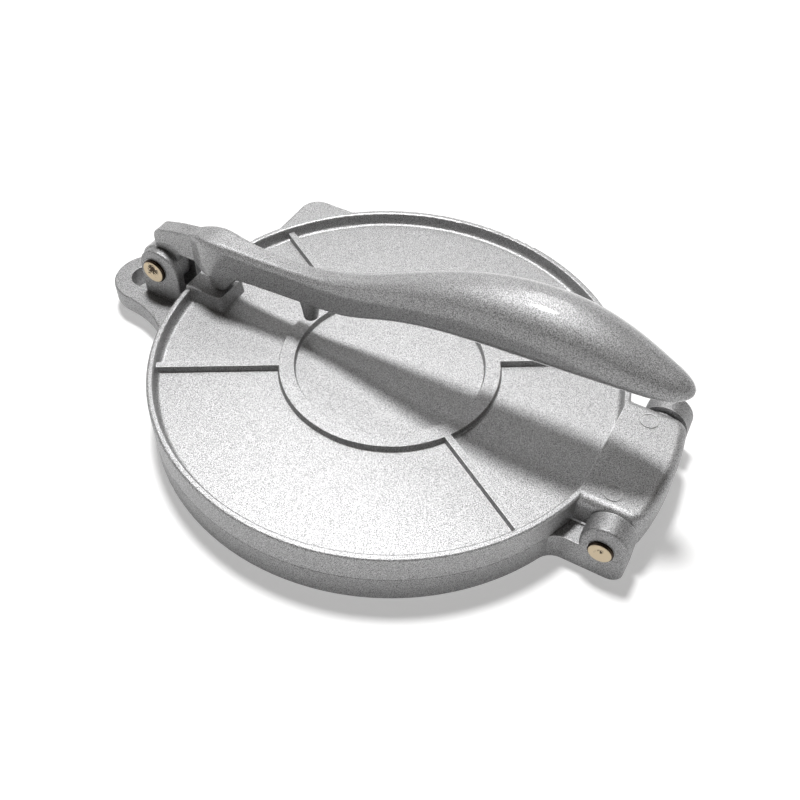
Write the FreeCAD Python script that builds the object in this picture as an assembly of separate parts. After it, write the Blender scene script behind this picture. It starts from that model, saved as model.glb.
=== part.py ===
import FreeCAD
import Part
import math
import os

# Tortilla press in cast aluminium, closed, with its lever folded over the top plate.
# Millimetres. X runs from the lever's pivot to the plate's hinge, Y across, Z up from the table.
# Reaches are measured outwards from the rim of the round plates. Shapes are made around the
# plates' middle, and place() then moves each one so that the origin lies on the table under the
# middle of the whole press.

V = FreeCAD.Vector

# Round plates
plate_radius = 103.0
base_height = 14.5
plate_thickness = 13.0

# Top plate: dished upper side with a ring, spokes and a pad for the lever's cam
rim_width = 3.0
rim_outer_edge_radius = 1.2
rim_inner_edge_radius = 0.6
floor_depth = 5.7
wall_draft = 0.5
wall_foot_radius = 2.0
ring_inner_radius = 41.2
ring_width = 6.6
rib_drop = 2.65
rib_draft = 0.3
rib_foot_radius = 0.5
rib_edge_radius = 0.3
spoke_width = 2.9
spoke_angle = 31.6
pad_length = 20.4
pad_half_width = 8.6
pad_rise = 1.8
pad_draft = 0.9
pad_corner_radius = 2.5
tab_side_inset = 13.0
tab_end_inset = 23.8
tab_corner_radius = 9.0
tab_thickness = 7.0
tab_edge_radius = 1.2
press_face_edge_radius = 0.5

# Rear hinge: a tongue on the top plate turns on a pin between two ears of the base
hinge_reach = 10.7
hinge_z = 16.2
hinge_pin_radius = 5.25
hinge_pin_proud = 1.4
hinge_barrel_radius = 9.6
tongue_half_width = 29.7
tongue_length = 24.0
tongue_corner_radius = 7.0
tongue_edge_radius = 4.0
tongue_foot_radius = 2.5
tongue_low_z = 8.8
tongue_low_edge_radius = 2.6
ear_side_gap = 0.9
rear_ear_thickness = 9.4
rear_ear_front_reach = 1.5
rear_ear_back_reach = 21.1
rear_ear_rise = 1.0
rear_ear_edge_radius = 1.4
rear_block_corner_radius = 6.0
rear_block_blend_radius = 8.0

# Base: pressing disc on a shallow foot rim, with stiffening ribs under it
base_bottom_edge_radius = 2.7
base_top_edge_radius = 0.8
foot_rim_width = 7.0
foot_recess_depth = 3.5
foot_ring_radius = 44.5
foot_ring_width = 6.0
foot_spoke_width = 5.0

# Front lug with its screw hole, raised off the table
lug_end_reach = 29.4
lug_end_radius = 16.7
lug_blend_radius = 45.0
lug_ground_gap = 4.0
lug_bottom_edge_radius = 3.0
lug_top_edge_radius = 0.8
lug_hole_reach = 30.8
lug_hole_radius = 7.4
blend_overlap = 0.4

# Front fork: two ears that hold the lever's pin
pivot_reach = 16.2
pivot_z = 30.5
lever_pin_radius = 5.9
lever_pin_proud = 1.7
fork_ear_thickness = 4.0
fork_ear_reach = 14.1
fork_ear_radius = 10.8
fork_ear_edge_radius = 1.3

# Lever: a flat tang between the ears with a cam nose under it. Heights are above the pivot.
tang_width = 8.2
tang_side_gap = 0.4
tang_boss_radius = 10.4
tang_edge_radius = 0.9
tang_front_reach = 1.3
tang_front_height = 20.0
tang_front_radius = 5.0
tang_top_reach = 26.0
tang_top_height = 25.9
tang_crown_reach = 10.5
tang_crown_height = 23.3
tang_crown_radius = 40.0
cam_gap = 0.3
cam_near_reach = 27.8
cam_near_radius = 2.5
cam_far_reach = 35.0
cam_far_radius = 5.4
cam_back_reach = 46.5
cam_back_height = 13.7
notch_height = 10.6
notch_far_radius = 8.8
notch_near_radius = 2.0
notch_near_reach = 12.3
notch_foot_reach = 9.0
notch_foot_height = 4.0

# Arm and palm grip: the lever's long part
lever_reach = 242.8
grip_top_height = 60.2
grip_height = 26.4
grip_half_width = 15.0
nub_reach = 79.4
nub_low_height = 1.2
nub_root_height = 15.5
nub_tip_radius = 3.1
nub_root_radius = 5.2
nub_edge_radius = 1.4

# Fits
pin_running_gap = 0.06
pin_seat_gap = 0.02
pin_end_chamfer = 0.7
hole_edge_radius = 0.6
cut_overrun = 2.0
root_depth = 1.0
shortest_edge = 0.001

# Stations along the lever from its neck to its tip. Each row holds the reach as a share of
# lever_reach, the top as a share of grip_top_height, the depth as a share of grip_height, the
# half width as a share of grip_half_width, then the share of the half width that each corner
# takes up, and the shares of the depth that the upper and the lower corners take up.
station_shares = (
    (0.0700, 0.384, 0.470, 0.235, 0.36, 0.12, 0.09),
    (0.0870, 0.424, 0.600, 0.285, 0.40, 0.13, 0.09),
    (0.1080, 0.450, 0.741, 0.410, 0.42, 0.14, 0.09),
    (0.1320, 0.462, 0.765, 0.480, 0.44, 0.15, 0.09),
    (0.1700, 0.454, 0.663, 0.430, 0.46, 0.18, 0.09),
    (0.2230, 0.441, 0.600, 0.350, 0.52, 0.20, 0.10),
    (0.2850, 0.444, 0.585, 0.330, 0.58, 0.22, 0.11),
    (0.3470, 0.472, 0.600, 0.375, 0.64, 0.27, 0.15),
    (0.4090, 0.538, 0.665, 0.485, 0.74, 0.34, 0.24),
    (0.4910, 0.683, 0.715, 0.665, 0.86, 0.42, 0.36),
    (0.5730, 0.832, 0.822, 0.825, 0.92, 0.46, 0.43),
    (0.6560, 0.945, 0.955, 0.940, 0.94, 0.47, 0.45),
    (0.7380, 0.998, 1.000, 1.000, 0.95, 0.48, 0.46),
    (0.8100, 0.990, 0.930, 0.975, 0.95, 0.48, 0.46),
    (0.8700, 0.935, 0.775, 0.880, 0.95, 0.48, 0.46),
    (0.9200, 0.860, 0.600, 0.730, 0.95, 0.48, 0.46),
    (0.9600, 0.796, 0.450, 0.545, 0.95, 0.48, 0.46),
    (0.9860, 0.752, 0.290, 0.345, 0.95, 0.48, 0.46),
    (0.9970, 0.718, 0.145, 0.175, 0.95, 0.48, 0.46),
    (1.0000, 0.700, 0.060, 0.075, 0.95, 0.48, 0.46),
)

rim_top = base_height + plate_thickness
floor_z = rim_top - floor_depth
rib_top = rim_top - rib_drop
rim_inner_radius = plate_radius - rim_width
rim_middle_radius = plate_radius - rim_width / 2
ring_outer_radius = ring_inner_radius + ring_width
ring_middle_radius = ring_inner_radius + ring_width / 2
pad_top = rim_top + pad_rise
pad_inner_x = plate_radius - pad_length
tab_corner_x = plate_radius - tab_side_inset
tab_corner_y = plate_radius - tab_end_inset
hinge_x = plate_radius + hinge_reach
tongue_end_x = plate_radius + tongue_length
rear_ear_front_x = plate_radius + rear_ear_front_reach
rear_ear_back_x = plate_radius + rear_ear_back_reach
lug_end_x = plate_radius + lug_end_reach
lug_hole_x = plate_radius + lug_hole_reach
pivot_x = plate_radius + pivot_reach
fork_ear_centre_x = plate_radius + fork_ear_reach
slot_half_width = tongue_half_width + ear_side_gap
rear_ear_outer_y = slot_half_width + rear_ear_thickness
rear_ear_top = rim_top + rear_ear_rise
rear_ear_radius = (rear_ear_back_x - rear_ear_front_x) / 2
fork_inner_y = tang_width / 2 + tang_side_gap
fork_outer_y = fork_inner_y + fork_ear_thickness
foot_rim_inner_radius = plate_radius - foot_rim_width
foot_rim_middle_radius = plate_radius - foot_rim_width / 2
foot_ring_inner_radius = foot_ring_radius - foot_ring_width / 2
foot_ring_outer_radius = foot_ring_radius + foot_ring_width / 2
plate_centre_x = (lug_end_x + lug_end_radius - tongue_end_x) / 2


def line(a, b):
    return Part.LineSegment(a, b).toShape()


def arc(a, middle, b):
    return Part.Arc(a, middle, b).toShape()


def rounded(corners):
    """Closed wire through corners (point, radius), with a tangent arc at each radius above zero."""
    count = len(corners)
    arcs = []
    for i in range(count):
        point, radius = corners[i]
        if radius == 0:
            arcs.append((point, None, point))
            continue
        back = (corners[i - 1][0] - point).normalize()
        ahead = (corners[(i + 1) % count][0] - point).normalize()
        half = back.getAngle(ahead) / 2
        reach = radius / math.tan(half)
        inward = (back + ahead).normalize()
        middle = point + inward * (radius / math.sin(half) - radius)
        arcs.append((point + back * reach, middle, point + ahead * reach))
    edges = []
    for i in range(count):
        start, middle, end = arcs[i]
        following = arcs[(i + 1) % count][0]
        if middle is not None:
            edges.append(arc(start, middle, end))
        if end.distanceToPoint(following) > shortest_edge:
            edges.append(line(end, following))
    return Part.Wire(edges)


def extrude(wire, direction):
    return Part.Face(wire).extrude(direction)


def revolve(wire):
    return Part.Face(wire).revolve(V(0, 0, 0), V(0, 0, 1), 360)


def mirrored(shape):
    """The shape's twin on the other side of the middle plane."""
    return shape.mirror(V(0, 0, 0), V(0, 1, 0))


def across(x, z, radius, half_length):
    """Cylinder along Y through (x, z), centred on the middle plane."""
    return Part.makeCylinder(radius, 2 * half_length, V(x, -half_length, z), V(0, 1, 0))


def blend(radius, blend_radius, side):
    """Arc that joins a circle about the plate's middle to a straight side, by its two ends and middle."""
    centre_y = side + blend_radius
    reach = radius + blend_radius
    centre = V(math.sqrt(reach ** 2 - centre_y ** 2), centre_y, 0)
    on_circle = centre * (radius / reach)
    on_side = centre - V(0, blend_radius, 0)
    middle = centre + ((on_circle + on_side) * 0.5 - centre).normalize() * blend_radius
    return on_circle, middle, on_side


def flip(point):
    return V(point.x, -point.y, point.z)


def radial_rib(angle, start, end, half_width, foot_half_width, low, high):
    """Rib of trapezoid section from one radius to another."""
    wire = Part.makePolygon([
        V(start, -foot_half_width, low),
        V(start, foot_half_width, low),
        V(start, half_width, high),
        V(start, -half_width, high),
        V(start, -foot_half_width, low),
    ])
    rib = extrude(wire, V(end - start, 0, 0))
    rib.rotate(V(0, 0, 0), V(0, 0, 1), angle)
    return rib


def rib_angles():
    return (spoke_angle, -spoke_angle, 180 - spoke_angle, 180 + spoke_angle)


def place(shape):
    moved = shape.removeSplitter()
    moved.translate(V(plate_centre_x, 0, 0))
    return moved


def edges_at(shape, test):
    """Edges whose every sampled point passes the test."""
    chosen = []
    for edge in shape.Edges:
        points = edge.discretize(5)
        if all(test(point) for point in points):
            chosen.append(edge)
    return chosen


def near(a, b):
    return abs(a - b) < shortest_edge * 10


# Base casting

def base_disc():
    recess = foot_recess_depth
    wire = rounded([
        (V(0, 0, recess), 0),
        (V(foot_ring_inner_radius - rib_draft, 0, recess), rib_foot_radius),
        (V(foot_ring_inner_radius, 0, 0), rib_edge_radius),
        (V(foot_ring_outer_radius, 0, 0), rib_edge_radius),
        (V(foot_ring_outer_radius + rib_draft, 0, recess), rib_foot_radius),
        (V(foot_rim_inner_radius - rib_draft, 0, recess), rib_foot_radius),
        (V(foot_rim_inner_radius, 0, 0), rib_edge_radius),
        (V(plate_radius, 0, 0), base_bottom_edge_radius),
        (V(plate_radius, 0, base_height), base_top_edge_radius),
        (V(0, 0, base_height), 0),
    ])
    disc = revolve(wire)
    half_width = foot_spoke_width / 2
    for angle in rib_angles():
        disc = disc.fuse(radial_rib(angle, foot_ring_radius, foot_rim_middle_radius,
                                    half_width + rib_draft, half_width,
                                    0, recess + root_depth))
    return disc


def front_lug():
    inner = plate_radius - blend_overlap
    d1 = inner + lug_blend_radius
    d2 = lug_end_radius + lug_blend_radius
    blend_x = -(d1 ** 2 - d2 ** 2 + lug_end_x ** 2) / (2 * lug_end_x)
    blend_centre = V(blend_x, math.sqrt(d1 ** 2 - blend_x ** 2), 0)
    tip_centre = V(-lug_end_x, 0, 0)
    on_disc = blend_centre * (inner / d1)
    on_tip = tip_centre + (blend_centre - tip_centre) * (lug_end_radius / d2)
    middle = (on_disc + on_tip) * 0.5
    middle = blend_centre + (middle - blend_centre).normalize() * lug_blend_radius
    wire = Part.Wire([
        arc(on_disc, middle, on_tip),
        arc(on_tip, tip_centre - V(lug_end_radius, 0, 0), flip(on_tip)),
        arc(flip(on_tip), flip(middle), flip(on_disc)),
        line(flip(on_disc), on_disc),
    ])
    wire.translate(V(0, 0, lug_ground_gap))
    lug = extrude(wire, V(0, 0, base_height - lug_ground_gap))
    outside = on_disc.x - shortest_edge

    def low(point):
        return near(point.z, lug_ground_gap)

    def high(point):
        return near(point.z, base_height)

    low_edges = [edge for edge in edges_at(lug, low) if edge.CenterOfMass.x < outside]
    lug = lug.makeFillet(lug_bottom_edge_radius, low_edges)
    high_edges = [edge for edge in edges_at(lug, high) if edge.CenterOfMass.x < outside]
    lug = lug.makeFillet(lug_top_edge_radius, high_edges)
    hole = Part.makeCylinder(lug_hole_radius, base_height, V(-lug_hole_x, 0, 0))
    lug = lug.cut(hole)

    def hole_edge(point):
        return near(point.distanceToPoint(V(-lug_hole_x, 0, point.z)), lug_hole_radius)

    ends = [edge for edge in edges_at(lug, hole_edge) if edge.isClosed()]
    return lug.makeFillet(hole_edge_radius, ends)


def fork_ear():
    low = base_height - root_depth
    left = -(fork_ear_centre_x + fork_ear_radius)
    right = -(fork_ear_centre_x - fork_ear_radius)
    top = pivot_z + fork_ear_radius
    wire = rounded([
        (V(left, fork_inner_y, low), 0),
        (V(left, fork_inner_y, top), fork_ear_radius),
        (V(right, fork_inner_y, top), fork_ear_radius),
        (V(right, fork_inner_y, low), 0),
    ])
    ear = extrude(wire, V(0, fork_ear_thickness, 0))

    def outer(point):
        return near(point.y, fork_outer_y)

    edges = [edge for edge in edges_at(ear, outer) if edge.CenterOfMass.z > low + shortest_edge]
    return ear.makeFillet(fork_ear_edge_radius, edges)


def rear_block():
    on_disc, middle, on_side = blend(plate_radius - blend_overlap, rear_block_blend_radius,
                                     rear_ear_outer_y)
    outer = V(rear_ear_back_x + cut_overrun, rear_ear_outer_y, 0)
    inner = V(rear_ear_back_x + cut_overrun, slot_half_width, 0)
    root = V(on_disc.x, slot_half_width, 0)
    plan = extrude(Part.Wire([
        arc(on_disc, middle, on_side),
        line(on_side, outer),
        line(outer, inner),
        line(inner, root),
        line(root, on_disc),
    ]), V(0, 0, rear_ear_top))
    side = rounded([
        (V(on_disc.x, 0, 0), 0),
        (V(rear_ear_back_x, 0, 0), rear_block_corner_radius),
        (V(rear_ear_back_x, 0, rear_ear_top), rear_ear_radius),
        (V(rear_ear_front_x, 0, rear_ear_top), rear_ear_radius),
        (V(rear_ear_front_x, 0, base_height), 0),
        (V(on_disc.x, 0, base_height), 0),
    ])
    block = plan.common(extrude(side, V(0, 2 * rear_ear_outer_y, 0)))

    def outer_face(point):
        return near(point.y, rear_ear_outer_y)

    edges = [edge for edge in edges_at(block, outer_face)
             if edge.BoundBox.XMax > on_side.x + shortest_edge]
    rounded_edges = []
    for edge in edges:
        box = edge.BoundBox
        on_ledge = near(box.ZMin, base_height) and near(box.ZMax, base_height)
        on_table = near(box.ZMax, 0)
        if not on_ledge and not on_table:
            rounded_edges.append(edge)
    return block.makeFillet(rear_ear_edge_radius, rounded_edges)


def base_casting():
    body = base_disc()
    body = body.fuse(front_lug())
    ear = fork_ear()
    body = body.fuse([ear, mirrored(ear)])
    block = rear_block()
    body = body.fuse([block, mirrored(block)])
    body = body.cut(across(-pivot_x, pivot_z, lever_pin_radius + pin_seat_gap,
                           fork_outer_y + cut_overrun))
    body = body.cut(across(hinge_x, hinge_z, hinge_pin_radius + pin_seat_gap,
                           rear_ear_outer_y + cut_overrun))
    return body


# Top plate

def dish():
    wire = rounded([
        (V(0, 0, base_height), 0),
        (V(plate_radius, 0, base_height), press_face_edge_radius),
        (V(plate_radius, 0, rim_top), rim_outer_edge_radius),
        (V(rim_inner_radius, 0, rim_top), rim_inner_edge_radius),
        (V(rim_inner_radius - wall_draft, 0, floor_z), wall_foot_radius),
        (V(ring_outer_radius + rib_draft, 0, floor_z), rib_foot_radius),
        (V(ring_outer_radius, 0, rib_top), rib_edge_radius),
        (V(ring_inner_radius, 0, rib_top), rib_edge_radius),
        (V(ring_inner_radius - rib_draft, 0, floor_z), rib_foot_radius),
        (V(0, 0, floor_z), 0),
    ])
    body = revolve(wire)
    half_width = spoke_width / 2
    for angle in rib_angles():
        body = body.fuse(radial_rib(angle, ring_middle_radius, rim_middle_radius,
                                    half_width, half_width + rib_draft,
                                    floor_z - root_depth, rib_top))
    return body


def pad():
    low = floor_z - root_depth
    outlines = []
    for z, grow in ((low, pad_draft), (pad_top, 0)):
        outlines.append(rounded([
            (V(-rim_middle_radius, -pad_half_width - grow, z), 0),
            (V(-pad_inner_x + grow, -pad_half_width - grow, z), pad_corner_radius),
            (V(-pad_inner_x + grow, pad_half_width + grow, z), pad_corner_radius),
            (V(-rim_middle_radius, pad_half_width + grow, z), 0),
        ]))
    return Part.makeLoft(outlines, True, True)


def tongue():
    on_disc, middle, on_side = blend(plate_radius - blend_overlap, tongue_foot_radius,
                                     tongue_half_width)
    corner_y = tongue_half_width - tongue_corner_radius
    corner_reach = tongue_end_x - tongue_corner_radius
    corner = V(math.sqrt(corner_reach ** 2 - corner_y ** 2), corner_y, 0)
    side_end = corner + V(0, tongue_corner_radius, 0)
    end_start = corner * (tongue_end_x / corner_reach)
    corner_middle = (side_end + end_start) * 0.5
    corner_middle = corner + (corner_middle - corner).normalize() * tongue_corner_radius
    plan = Part.Wire([
        arc(on_disc, middle, on_side),
        line(on_side, side_end),
        arc(side_end, corner_middle, end_start),
        arc(end_start, V(tongue_end_x, 0, 0), flip(end_start)),
        arc(flip(end_start), flip(corner_middle), flip(side_end)),
        line(flip(side_end), flip(on_side)),
        arc(flip(on_side), flip(middle), flip(on_disc)),
        line(flip(on_disc), on_disc),
    ])
    deep = extrude(plan, V(0, 0, rim_top))
    plan.translate(V(0, 0, base_height))
    slab = extrude(plan, V(0, 0, plate_thickness))

    def upper(point):
        return near(point.z, rim_top)

    edges = [edge for edge in edges_at(slab, upper) if edge.CenterOfMass.x > side_end.x - shortest_edge]
    slab = slab.makeFillet(tongue_edge_radius, edges)
    barrel = across(hinge_x, hinge_z, hinge_barrel_radius, tongue_half_width + cut_overrun)
    slab = slab.fuse(barrel.common(deep))
    plan.translate(V(0, 0, tongue_low_z - base_height))
    heel = extrude(plan, V(0, 0, base_height - tongue_low_z + root_depth))
    heel = heel.common(Part.makeBox(tongue_end_x, 2 * tongue_end_x, rim_top,
                                    V(hinge_x, -tongue_end_x, 0)))

    def lower(point):
        return near(point.z, tongue_low_z)

    edges = [edge for edge in edges_at(heel, lower) if edge.CenterOfMass.x > side_end.x - shortest_edge]
    return slab.fuse(heel.makeFillet(tongue_low_edge_radius, edges))


def lift_tab():
    inner_x = -math.sqrt(plate_radius ** 2 - tab_corner_y ** 2) / 2
    inner_y = math.sqrt(plate_radius ** 2 - tab_corner_x ** 2) / 2
    low = rim_top - tab_thickness
    wire = rounded([
        (V(inner_x, inner_y, low), 0),
        (V(inner_x, tab_corner_y, low), 0),
        (V(-tab_corner_x, tab_corner_y, low), tab_corner_radius),
        (V(-tab_corner_x, inner_y, low), 0),
    ])
    tab = extrude(wire, V(0, 0, tab_thickness))

    def outer(point):
        return near(point.x, -tab_corner_x) or near(point.y, tab_corner_y) or (
            point.x < -tab_corner_x + tab_corner_radius and point.y > tab_corner_y - tab_corner_radius)

    edges = [edge for edge in edges_at(tab, outer) if near(edge.BoundBox.ZMin, edge.BoundBox.ZMax)]
    tab = tab.makeFillet(tab_edge_radius, edges)
    return tab.cut(Part.makeCylinder(rim_middle_radius, rim_top + cut_overrun))


def top_plate():
    body = dish()
    body = body.fuse(pad())
    body = body.fuse(tongue())
    body = body.fuse(lift_tab())
    return body.cut(across(hinge_x, hinge_z, hinge_pin_radius + pin_running_gap,
                           tongue_half_width + cut_overrun))


# Lever

def above_pivot(reach, height):
    """Point in the middle plane, by its distance from the pivot along X and its height above it."""
    return V(reach - pivot_x, 0, pivot_z + height)


def tang():
    nose_height = pad_top + cam_gap - pivot_z
    wire = rounded([
        (above_pivot(-tang_front_reach, 0), 0),
        (above_pivot(-tang_front_reach, tang_front_height), tang_front_radius),
        (above_pivot(tang_crown_reach, tang_crown_height), tang_crown_radius),
        (above_pivot(tang_top_reach, tang_top_height), 0),
        (above_pivot(cam_back_reach, cam_back_height), 0),
        (above_pivot(cam_far_reach, nose_height), cam_far_radius),
        (above_pivot(cam_near_reach, nose_height), cam_near_radius),
        (above_pivot(cam_near_reach, notch_height), notch_far_radius),
        (above_pivot(notch_near_reach, notch_height), notch_near_radius),
        (above_pivot(notch_foot_reach, notch_foot_height), 0),
    ])
    wire.translate(V(0, -tang_width / 2, 0))
    body = extrude(wire, V(0, tang_width, 0))
    body = body.fuse(across(-pivot_x, pivot_z, tang_boss_radius, tang_width / 2)).removeSplitter()

    def outline(point):
        return near(abs(point.y), tang_width / 2)

    return body.makeFillet(tang_edge_radius, edges_at(body, outline))


def quarter(a, corner, b):
    """Quarter of an ellipse from a to b inside the given corner."""
    curve = Part.BezierCurve()
    curve.setPoles([a, corner, b])
    curve.setWeight(2, math.sqrt(0.5))
    return curve.toShape()


def station(shares):
    reach, top, depth, half, corner, upper, lower = shares
    x = reach * lever_reach - pivot_x
    high = pivot_z + top * grip_top_height
    tall = depth * grip_height
    low = high - tall
    wide = half * grip_half_width
    flat = wide * (1 - corner)
    upper_z = high - upper * tall
    lower_z = low + lower * tall
    return Part.Wire([
        line(V(x, -flat, high), V(x, flat, high)),
        quarter(V(x, flat, high), V(x, wide, high), V(x, wide, upper_z)),
        line(V(x, wide, upper_z), V(x, wide, lower_z)),
        quarter(V(x, wide, lower_z), V(x, wide, low), V(x, flat, low)),
        line(V(x, flat, low), V(x, -flat, low)),
        quarter(V(x, -flat, low), V(x, -wide, low), V(x, -wide, lower_z)),
        line(V(x, -wide, lower_z), V(x, -wide, upper_z)),
        quarter(V(x, -wide, upper_z), V(x, -wide, high), V(x, -flat, high)),
    ])


def nub():
    height = nub_root_height - nub_low_height
    cone = Part.makeCone(nub_tip_radius, nub_root_radius, height,
                         above_pivot(nub_reach, nub_low_height))

    def tip(point):
        return near(point.z, pivot_z + nub_low_height)

    return cone.makeFillet(nub_edge_radius, [edge for edge in edges_at(cone, tip)])


def lever():
    arm = Part.makeLoft([station(shares) for shares in station_shares], True, False)
    body = arm.fuse(tang())
    body = body.fuse(nub())
    return body.cut(across(-pivot_x, pivot_z, lever_pin_radius + pin_running_gap,
                           tang_width / 2 + cut_overrun))


# Pins

def pin(x, z, radius, half_length):
    body = across(x, z, radius, half_length)

    def end(point):
        return near(abs(point.y), half_length)

    return body.makeChamfer(pin_end_chamfer, edges_at(body, end))


pieces = (
    ("base_casting", base_casting()),
    ("top_plate", top_plate()),
    ("lever", lever()),
    ("lever_pin", pin(-pivot_x, pivot_z, lever_pin_radius, fork_outer_y + lever_pin_proud)),
    ("hinge_pin", pin(hinge_x, hinge_z, hinge_pin_radius, rear_ear_outer_y + hinge_pin_proud)),
)

os.makedirs("parts", exist_ok=True)
for node, shape in pieces:
    placed = place(shape)
    box = placed.BoundBox
    print(node, placed.isValid(), len(placed.Solids), round(placed.Volume / 1000, 1),
          [round(value, 2) for value in (box.XMin, box.XMax, box.YMin, box.YMax, box.ZMin, box.ZMax)])
    placed.exportStep("parts/" + node + ".step")
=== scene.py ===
import math

import bpy
from mathutils import Matrix, Vector


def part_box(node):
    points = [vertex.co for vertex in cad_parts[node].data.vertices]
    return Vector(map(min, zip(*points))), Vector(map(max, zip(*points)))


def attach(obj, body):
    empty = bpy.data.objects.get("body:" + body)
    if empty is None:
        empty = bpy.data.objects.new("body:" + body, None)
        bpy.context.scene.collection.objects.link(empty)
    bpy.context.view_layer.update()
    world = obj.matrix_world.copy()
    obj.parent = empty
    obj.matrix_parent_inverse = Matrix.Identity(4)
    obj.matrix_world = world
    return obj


# Tortilla press in coated cast aluminium, closed, on a white studio floor.
# Metres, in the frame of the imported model: +X towards the plates' hinge, +Z up.

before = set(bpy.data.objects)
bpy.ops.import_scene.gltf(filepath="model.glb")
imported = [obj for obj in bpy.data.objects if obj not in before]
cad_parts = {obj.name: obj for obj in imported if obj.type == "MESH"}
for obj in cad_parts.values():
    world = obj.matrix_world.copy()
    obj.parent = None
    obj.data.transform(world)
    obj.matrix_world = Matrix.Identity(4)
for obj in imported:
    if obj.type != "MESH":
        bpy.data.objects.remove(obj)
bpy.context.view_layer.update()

MM = 0.001

# Camera, fitted to the photograph's 800 x 800 frame
EYE = Vector((149.9, -256.6, 322.5)) * MM
VIEW_AZIMUTH = math.radians(27.46)
VIEW_ELEVATION = math.radians(47.88)
VIEW_ROLL = math.radians(2.0)
LENS = 43.46
SENSOR = 36.0
NEAR_CLIP = 10 * MM

# Studio: a white floor and a round white backdrop, which fade from their own tone near the press
# to an even white further out
FLOOR_HALF = 6.0
FLOOR_COLOUR = "#D8D8D8"
FLOOR_GLOW_NEAR = 0.40
FLOOR_GLOW_FAR = 0.8
GLOW_START = 0.15
GLOW_END = 1.4
WALL_RADIUS = 5.5
WALL_HEIGHT = 2.2
WALL_SIDES = 96
ROOM_COLOUR = "#FFF6EC"
ROOM_STRENGTH = 0.08

# A small lamp nearly overhead draws the lever's shadow; a broad one behind lights the dish
LIT_POINT = Vector((0, 0, 30)) * MM
KEY_SIZE = 0.22
KEY_DISTANCE = 1.3
KEY_DIRECTION = Vector((-0.16, 0.18, 1.0))
KEY_POWER = 16.5
BACK_SIZE = 0.8
BACK_DISTANCE = 2.0
BACK_DIRECTION = Vector((-0.22, 0.80, 1.0))
BACK_POWER = 4.6

# Hammered coat: metal flakes in a binder, seen as flecks of two greys over low, soft dimples.
# The real flecks are finer than the picture's pixels, so they are drawn as coarse as they need
# to be to show. The pattern is turned, so that it is as strong on every flat face.
FLAKE_METAL = 0.85
FLECK_SIZE = 0.36 * MM
FLECK_DETAIL = 2.0
FLECK_CRISPNESS = 0.7
FLECK_DARKEST = 0.38
FLECK_LIGHTEST = 0.62
DIMPLE_PER_FLECK = 6
DIMPLE_DETAIL = 2.0
DIMPLE_CRISPNESS = 0.5
DIMPLE_SHARE = 0.6
GRAIN_TURN = (0.6, 0.9, 0.3)
CLEAR_ROUGHNESS = 0.07

# Edges and corners: their colour is lightened as a painted highlight, and handling has worn them
# smoother. The cosine is that between a face and the rounding that replaces its edge.
EDGE_REACH = 0.7 * MM
EDGE_SAMPLES = 6
EDGE_START_COSINE = 0.98
EDGE_FULL_COSINE = 0.84
EDGE_HIGHLIGHT = "#D2D2D2"
EDGE_ROUGHNESS_SHARE = 0.72

# Pins: pale plated ends, browned where the peening hammer fell, and dark sides
PIN_METAL = 0.75
PIN_PALE = "#DCCBAE"
PIN_BROWN = "#3B2A18"
PIN_SIDE = "#3A2E22"
PIN_END_DEPTH = 0.15 * MM
PIN_END_ROUGHNESS = 0.50
PIN_SIDE_ROUGHNESS = 0.24
WEAR_RISE = 1.2 * MM
WEAR_MIDDLE = 0.22
WEAR_RIM = -0.25
WEAR_BLEND = 0.07
BLOW_SIZE = 1.6 * MM
BLOW_DETAIL = 4.0
BLOW_CRISPNESS = 0.65
BLOW_DISTORTION = 1.2
BLOW_DEPTH = 0.25 * MM
BLOW_STRENGTH = 0.5

# Round marks of the mould's ejectors on top of the hinge tongue: a low rim round a shallow dip
MARK_REACH = 120.35 * MM
MARK_SIDE = 21.0 * MM
MARK_RADIUS = 3.9 * MM
MARK_RIM_WIDTH = 0.45 * MM
MARK_RISE = 0.38 * MM
MARK_DIP = 0.26 * MM
MARK_ROOT = 0.8 * MM
MARK_ROUNDING = 0.06 * MM
MARK_SIDES = 72
MARK_SMOOTHING = math.radians(20)
TONGUE_TOP = 27.5 * MM
UPWARD = 0.5


def linear(hex_colour):
    """sRGB hex to linear RGBA."""
    channels = []
    for i in (1, 3, 5):
        value = int(hex_colour[i:i + 2], 16) / 255
        if value <= 0.04045:
            channels.append(value / 12.92)
        else:
            channels.append(((value + 0.055) / 1.055) ** 2.4)
    return (*channels, 1.0)


def add_node(tree, kind, settings=None, links=None):
    """Adds a node, sets its values and links its inputs, each named by its name or number."""
    node = tree.nodes.new(kind)
    for name, value in (settings or {}).items():
        if isinstance(name, int) or name in node.inputs:
            node.inputs[name].default_value = value
        else:
            setattr(node, name, value)
    for name, output in (links or {}).items():
        tree.links.new(output, node.inputs[name])
    return node


def new_material(name):
    material = bpy.data.materials.new(name)
    material.use_nodes = True
    material.node_tree.nodes.clear()
    return material, material.node_tree


def finish_material(tree, shader):
    output = add_node(tree, "ShaderNodeOutputMaterial")
    tree.links.new(shader, output.inputs["Surface"])


def edge_highlight_and_wear(tree):
    """One on edges and corners, fading to nothing a little way in on the faces."""
    rounded = add_node(tree, "ShaderNodeBevel", {"samples": EDGE_SAMPLES, "Radius": EDGE_REACH})
    true = add_node(tree, "ShaderNodeNewGeometry").outputs["True Normal"]
    facing = add_node(tree, "ShaderNodeVectorMath", {"operation": "DOT_PRODUCT"},
                      {0: rounded.outputs[0], 1: true})
    edge = add_node(tree, "ShaderNodeMapRange",
                    {"From Min": EDGE_START_COSINE, "From Max": EDGE_FULL_COSINE,
                     "To Min": 0.0, "To Max": 1.0},
                    {"Value": facing.outputs["Value"]})
    return edge.outputs[0]


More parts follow.
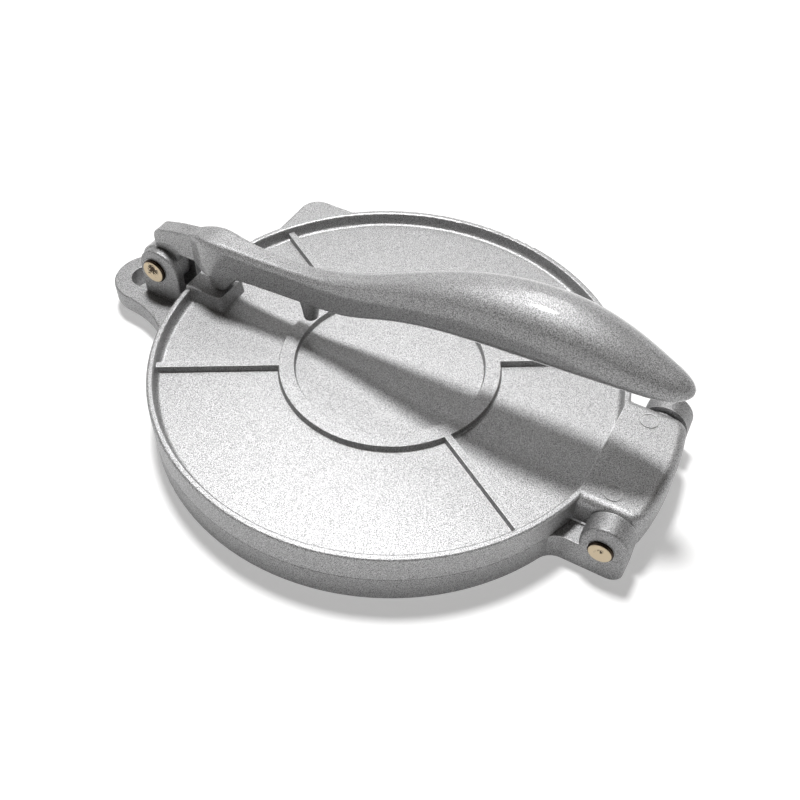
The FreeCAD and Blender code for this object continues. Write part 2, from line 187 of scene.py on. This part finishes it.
def coated_casting(name, dark, light, grain_height, roughness, clear_coat):
    """Sand-cast aluminium under a silver hammered coat, dull and sparkling with fine flecks.

    A clear coat over it gives the broad, soft highlights of a part that hands keep smooth.
    """
    material, tree = new_material(name)
    place = add_node(tree, "ShaderNodeTexCoord").outputs["Object"]
    turned = add_node(tree, "ShaderNodeMapping", {"Rotation": GRAIN_TURN},
                      {"Vector": place}).outputs[0]
    scale = 1 / FLECK_SIZE
    fleck = add_node(tree, "ShaderNodeTexNoise",
                     {"Scale": scale, "Detail": FLECK_DETAIL, "Roughness": FLECK_CRISPNESS},
                     {"Vector": turned})
    dimple = add_node(tree, "ShaderNodeTexNoise",
                      {"Scale": scale / DIMPLE_PER_FLECK, "Detail": DIMPLE_DETAIL,
                       "Roughness": DIMPLE_CRISPNESS},
                      {"Vector": turned})
    shade = add_node(tree, "ShaderNodeMapRange",
                     {"From Min": FLECK_DARKEST, "From Max": FLECK_LIGHTEST},
                     {"Value": fleck.outputs["Fac"]})
    colour = add_node(tree, "ShaderNodeMix",
                      {"data_type": "RGBA", 6: linear(dark), 7: linear(light)},
                      {0: shade.outputs[0]}).outputs[2]
    both = add_node(tree, "ShaderNodeMath", {"operation": "MULTIPLY_ADD", 1: DIMPLE_SHARE},
                    {0: dimple.outputs["Fac"], 2: fleck.outputs["Fac"]})
    height = add_node(tree, "ShaderNodeMath", {"operation": "MULTIPLY", 1: grain_height},
                      {0: both.outputs[0]}).outputs[0]
    bump = add_node(tree, "ShaderNodeBump", {"Strength": 1.0, "Distance": 1.0},
                    {"Height": height})
    edge = edge_highlight_and_wear(tree)
    # Painted highlight: the colour is lightened on edges and corners; the roughness below drops
    # there, where handling has worn them smoother.
    painted_edge_highlight = add_node(tree, "ShaderNodeMix", {"data_type": "RGBA", 7: linear(EDGE_HIGHLIGHT)},
                      {0: edge, 6: colour})
    gloss = add_node(tree, "ShaderNodeMapRange",
                     {"To Min": roughness, "To Max": EDGE_ROUGHNESS_SHARE * roughness},
                     {"Value": edge})
    shader = add_node(tree, "ShaderNodeBsdfPrincipled",
                      {"Metallic": FLAKE_METAL, "Coat Weight": clear_coat,
                       "Coat Roughness": CLEAR_ROUGHNESS},
                      {"Base Color": painted_edge_highlight.outputs[2], "Roughness": gloss.outputs[0],
                       "Normal": bump.outputs["Normal"]})
    finish_material(tree, shader.outputs["BSDF"])
    return material


def peened_pin(name, node_name, wear_radius, wear_level):
    """Plated brass pin: pale flat ends with browned peening in the middle, dark polished sides."""
    material, tree = new_material(name)
    low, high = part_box(node_name)
    centre = (Vector(low) + Vector(high)) / 2
    end = high[1] - PIN_END_DEPTH
    place = add_node(tree, "ShaderNodeTexCoord").outputs["Object"]
    parts = add_node(tree, "ShaderNodeSeparateXYZ", links={0: place})
    side = add_node(tree, "ShaderNodeMath", {"operation": "ABSOLUTE"}, {0: parts.outputs["Y"]})
    face = add_node(tree, "ShaderNodeMath", {"operation": "GREATER_THAN", 1: end},
                    {0: side.outputs[0]}).outputs[0]
    flat = add_node(tree, "ShaderNodeVectorMath", {"operation": "MULTIPLY", 1: (1.0, 0.0, 1.0)},
                    {0: place})
    away = add_node(tree, "ShaderNodeVectorMath",
                    {"operation": "DISTANCE", 1: (centre.x, 0.0, centre.z + WEAR_RISE)},
                    {0: flat.outputs[0]})
    fade = add_node(tree, "ShaderNodeMapRange",
                    {"From Min": 0.0, "From Max": wear_radius,
                     "To Min": WEAR_MIDDLE, "To Max": WEAR_RIM},
                    {"Value": away.outputs["Value"]})
    blow = add_node(tree, "ShaderNodeTexNoise",
                    {"Scale": 1 / BLOW_SIZE, "Detail": BLOW_DETAIL,
                     "Roughness": BLOW_CRISPNESS, "Distortion": BLOW_DISTORTION},
                    {"Vector": place})
    wear = add_node(tree, "ShaderNodeMath", {"operation": "ADD"},
                    {0: blow.outputs["Fac"], 1: fade.outputs[0]}).outputs[0]
    browned = add_node(tree, "ShaderNodeMapRange",
                       {"From Min": wear_level, "From Max": wear_level + WEAR_BLEND},
                       {"Value": wear})
    end_colour = add_node(tree, "ShaderNodeMix",
                          {"data_type": "RGBA", 6: linear(PIN_PALE), 7: linear(PIN_BROWN)},
                          {0: browned.outputs[0]})
    colour = add_node(tree, "ShaderNodeMix", {"data_type": "RGBA", 6: linear(PIN_SIDE)},
                      {0: face, 7: end_colour.outputs[2]})
    gloss = add_node(tree, "ShaderNodeMapRange",
                     {"To Min": PIN_SIDE_ROUGHNESS, "To Max": PIN_END_ROUGHNESS},
                     {"Value": face})
    bump = add_node(tree, "ShaderNodeBump", {"Strength": BLOW_STRENGTH, "Distance": BLOW_DEPTH},
                    {"Height": wear})
    shader = add_node(tree, "ShaderNodeBsdfPrincipled", {"Metallic": PIN_METAL},
                      {"Base Color": colour.outputs[2], "Roughness": gloss.outputs[0],
                       "Normal": bump.outputs["Normal"]})
    finish_material(tree, shader.outputs["BSDF"])
    return material


def dress(node_name, material):
    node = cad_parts[node_name]
    node.data.materials.clear()
    node.data.materials.append(material)


def seen_directly(tree):
    """One for rays that show a surface: from the camera, in a gloss or through glass."""
    ray = add_node(tree, "ShaderNodeLightPath")
    seen = add_node(tree, "ShaderNodeMath", {"operation": "MAXIMUM"},
                    {0: ray.outputs["Is Camera Ray"], 1: ray.outputs["Is Glossy Ray"]})
    seen = add_node(tree, "ShaderNodeMath", {"operation": "MAXIMUM"},
                    {0: seen.outputs[0], 1: ray.outputs["Is Transmission Ray"]})
    return seen.outputs[0]


def studio_paper(name):
    """Matt white paper. What the lamps don't reach keeps its white where it is seen."""
    material, tree = new_material(name)
    place = add_node(tree, "ShaderNodeTexCoord").outputs["Object"]
    away = add_node(tree, "ShaderNodeVectorMath", {"operation": "LENGTH"}, {0: place})
    level = add_node(tree, "ShaderNodeMapRange",
                     {"From Min": GLOW_START, "From Max": GLOW_END,
                      "To Min": FLOOR_GLOW_NEAR, "To Max": FLOOR_GLOW_FAR},
                     {"Value": away.outputs["Value"]})
    strength = add_node(tree, "ShaderNodeMath", {"operation": "MULTIPLY"},
                        {0: level.outputs[0], 1: seen_directly(tree)})
    paper = add_node(tree, "ShaderNodeBsdfDiffuse", {"Color": linear(FLOOR_COLOUR)})
    glow = add_node(tree, "ShaderNodeEmission", links={"Strength": strength.outputs[0]})
    both = add_node(tree, "ShaderNodeAddShader", links={0: paper.outputs[0], 1: glow.outputs[0]})
    finish_material(tree, both.outputs[0])
    return material


def studio():
    bpy.ops.mesh.primitive_plane_add(size=2 * FLOOR_HALF)
    plane = bpy.context.object
    plane.name = "floor"
    bpy.ops.mesh.primitive_cylinder_add(vertices=WALL_SIDES, radius=WALL_RADIUS,
                                        depth=WALL_HEIGHT, end_fill_type="NOTHING",
                                        location=(0, 0, WALL_HEIGHT / 2))
    wall = bpy.context.object
    wall.name = "backdrop"
    bpy.ops.object.transform_apply(location=True)
    paper = studio_paper("White studio paper")
    for piece in (plane, wall):
        piece.data.materials.append(paper)


def ejector_marks(material):
    """One low round mark modelled on the tongue and copied to its other side."""
    depth = MARK_RISE + MARK_ROOT
    bpy.ops.mesh.primitive_cylinder_add(
        vertices=MARK_SIDES, radius=MARK_RADIUS, depth=depth,
        location=(MARK_REACH, MARK_SIDE, TONGUE_TOP + MARK_RISE - depth / 2))
    bpy.ops.object.transform_apply(location=True)
    mark = bpy.context.object
    mark.name = "ejector_mark_left"
    bpy.ops.object.mode_set(mode="EDIT")
    bpy.ops.mesh.select_all(action="DESELECT")
    bpy.ops.object.mode_set(mode="OBJECT")
    for face in mark.data.polygons:
        face.select = face.normal.z > UPWARD
    bpy.ops.object.mode_set(mode="EDIT")
    bpy.ops.mesh.select_mode(type="FACE")
    bpy.ops.mesh.inset(thickness=MARK_RIM_WIDTH)
    bpy.ops.mesh.extrude_region_move(TRANSFORM_OT_translate={"value": (0, 0, -MARK_DIP)})
    bpy.ops.object.mode_set(mode="OBJECT")
    rounding = mark.modifiers.new("rounding", "BEVEL")
    rounding.width = MARK_ROUNDING
    rounding.segments = 1
    rounding.limit_method = "ANGLE"
    bpy.ops.object.modifier_apply(modifier=rounding.name)
    bpy.ops.object.duplicate()
    other = bpy.context.object
    other.name = "ejector_mark_right"
    other.location.y = -2 * MARK_SIDE
    bpy.ops.object.transform_apply(location=True)
    for piece in (mark, other):
        piece.data.materials.append(material)
        bpy.ops.object.select_all(action="DESELECT")
        piece.select_set(True)
        bpy.context.view_layer.objects.active = piece
        bpy.ops.object.shade_smooth_by_angle(angle=MARK_SMOOTHING)
        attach(piece, "top_plate")


def area_light(name, direction, distance, size, power):
    place = direction.normalized() * distance
    turn = (LIT_POINT - place).to_track_quat("-Z", "Y").to_euler()
    bpy.ops.object.light_add(type="AREA", location=place, rotation=turn)
    lamp = bpy.context.object
    lamp.name = name
    lamp.data.shape = "DISK"
    lamp.data.size = size
    lamp.data.energy = power


def world_light():
    world = bpy.data.worlds.new("Studio")
    world.use_nodes = True
    bpy.context.scene.world = world
    tree = world.node_tree
    tree.nodes.clear()
    room = add_node(tree, "ShaderNodeBackground",
                    {"Color": linear(ROOM_COLOUR), "Strength": ROOM_STRENGTH})
    output = add_node(tree, "ShaderNodeOutputWorld")
    tree.links.new(room.outputs[0], output.inputs["Surface"])


def camera():
    turn = (Matrix.Rotation(VIEW_AZIMUTH, 4, "Z")
            @ Matrix.Rotation(math.pi / 2 - VIEW_ELEVATION, 4, "X")
            @ Matrix.Rotation(VIEW_ROLL, 4, "Z"))
    bpy.ops.object.camera_add(location=EYE, rotation=turn.to_euler())
    eye = bpy.context.object
    eye.name = "camera"
    eye.data.lens = LENS
    eye.data.sensor_width = SENSOR
    eye.data.clip_start = NEAR_CLIP
    bpy.context.scene.camera = eye


camera()
world_light()
area_light("key", KEY_DIRECTION, KEY_DISTANCE, KEY_SIZE, KEY_POWER)
area_light("back", BACK_DIRECTION, BACK_DISTANCE, BACK_SIZE, BACK_POWER)
studio()

# The top plate is the palest of the three castings. The lever is a little rougher under a clear
# coat, so it shines where the light runs along it.
base_coat = coated_casting("Hammered silver coat on cast aluminium, base",
                           dark="#6C6C6C", light="#C2C2C3", grain_height=0.095 * MM,
                           roughness=0.52, clear_coat=0.0)
plate_coat = coated_casting("Hammered silver coat on cast aluminium, top plate",
                            dark="#747474", light="#D6D6D7", grain_height=0.095 * MM,
                            roughness=0.52, clear_coat=0.0)
lever_coat = coated_casting("Hammered silver coat on cast aluminium, lever",
                            dark="#6E6E6E", light="#D0D0D1", grain_height=0.070 * MM,
                            roughness=0.62, clear_coat=1.0)
dress("base_casting", base_coat)
dress("top_plate", plate_coat)
ejector_marks(plate_coat)
dress("lever", lever_coat)
dress("lever_pin", peened_pin("Plated brass pin of the lever, peened", "lever_pin",
                              wear_radius=5.6 * MM, wear_level=0.47))
dress("hinge_pin", peened_pin("Plated brass pin of the hinge, peened", "hinge_pin",
                              wear_radius=5.0 * MM, wear_level=0.64))

bpy.context.scene.view_settings.view_transform = "Standard"
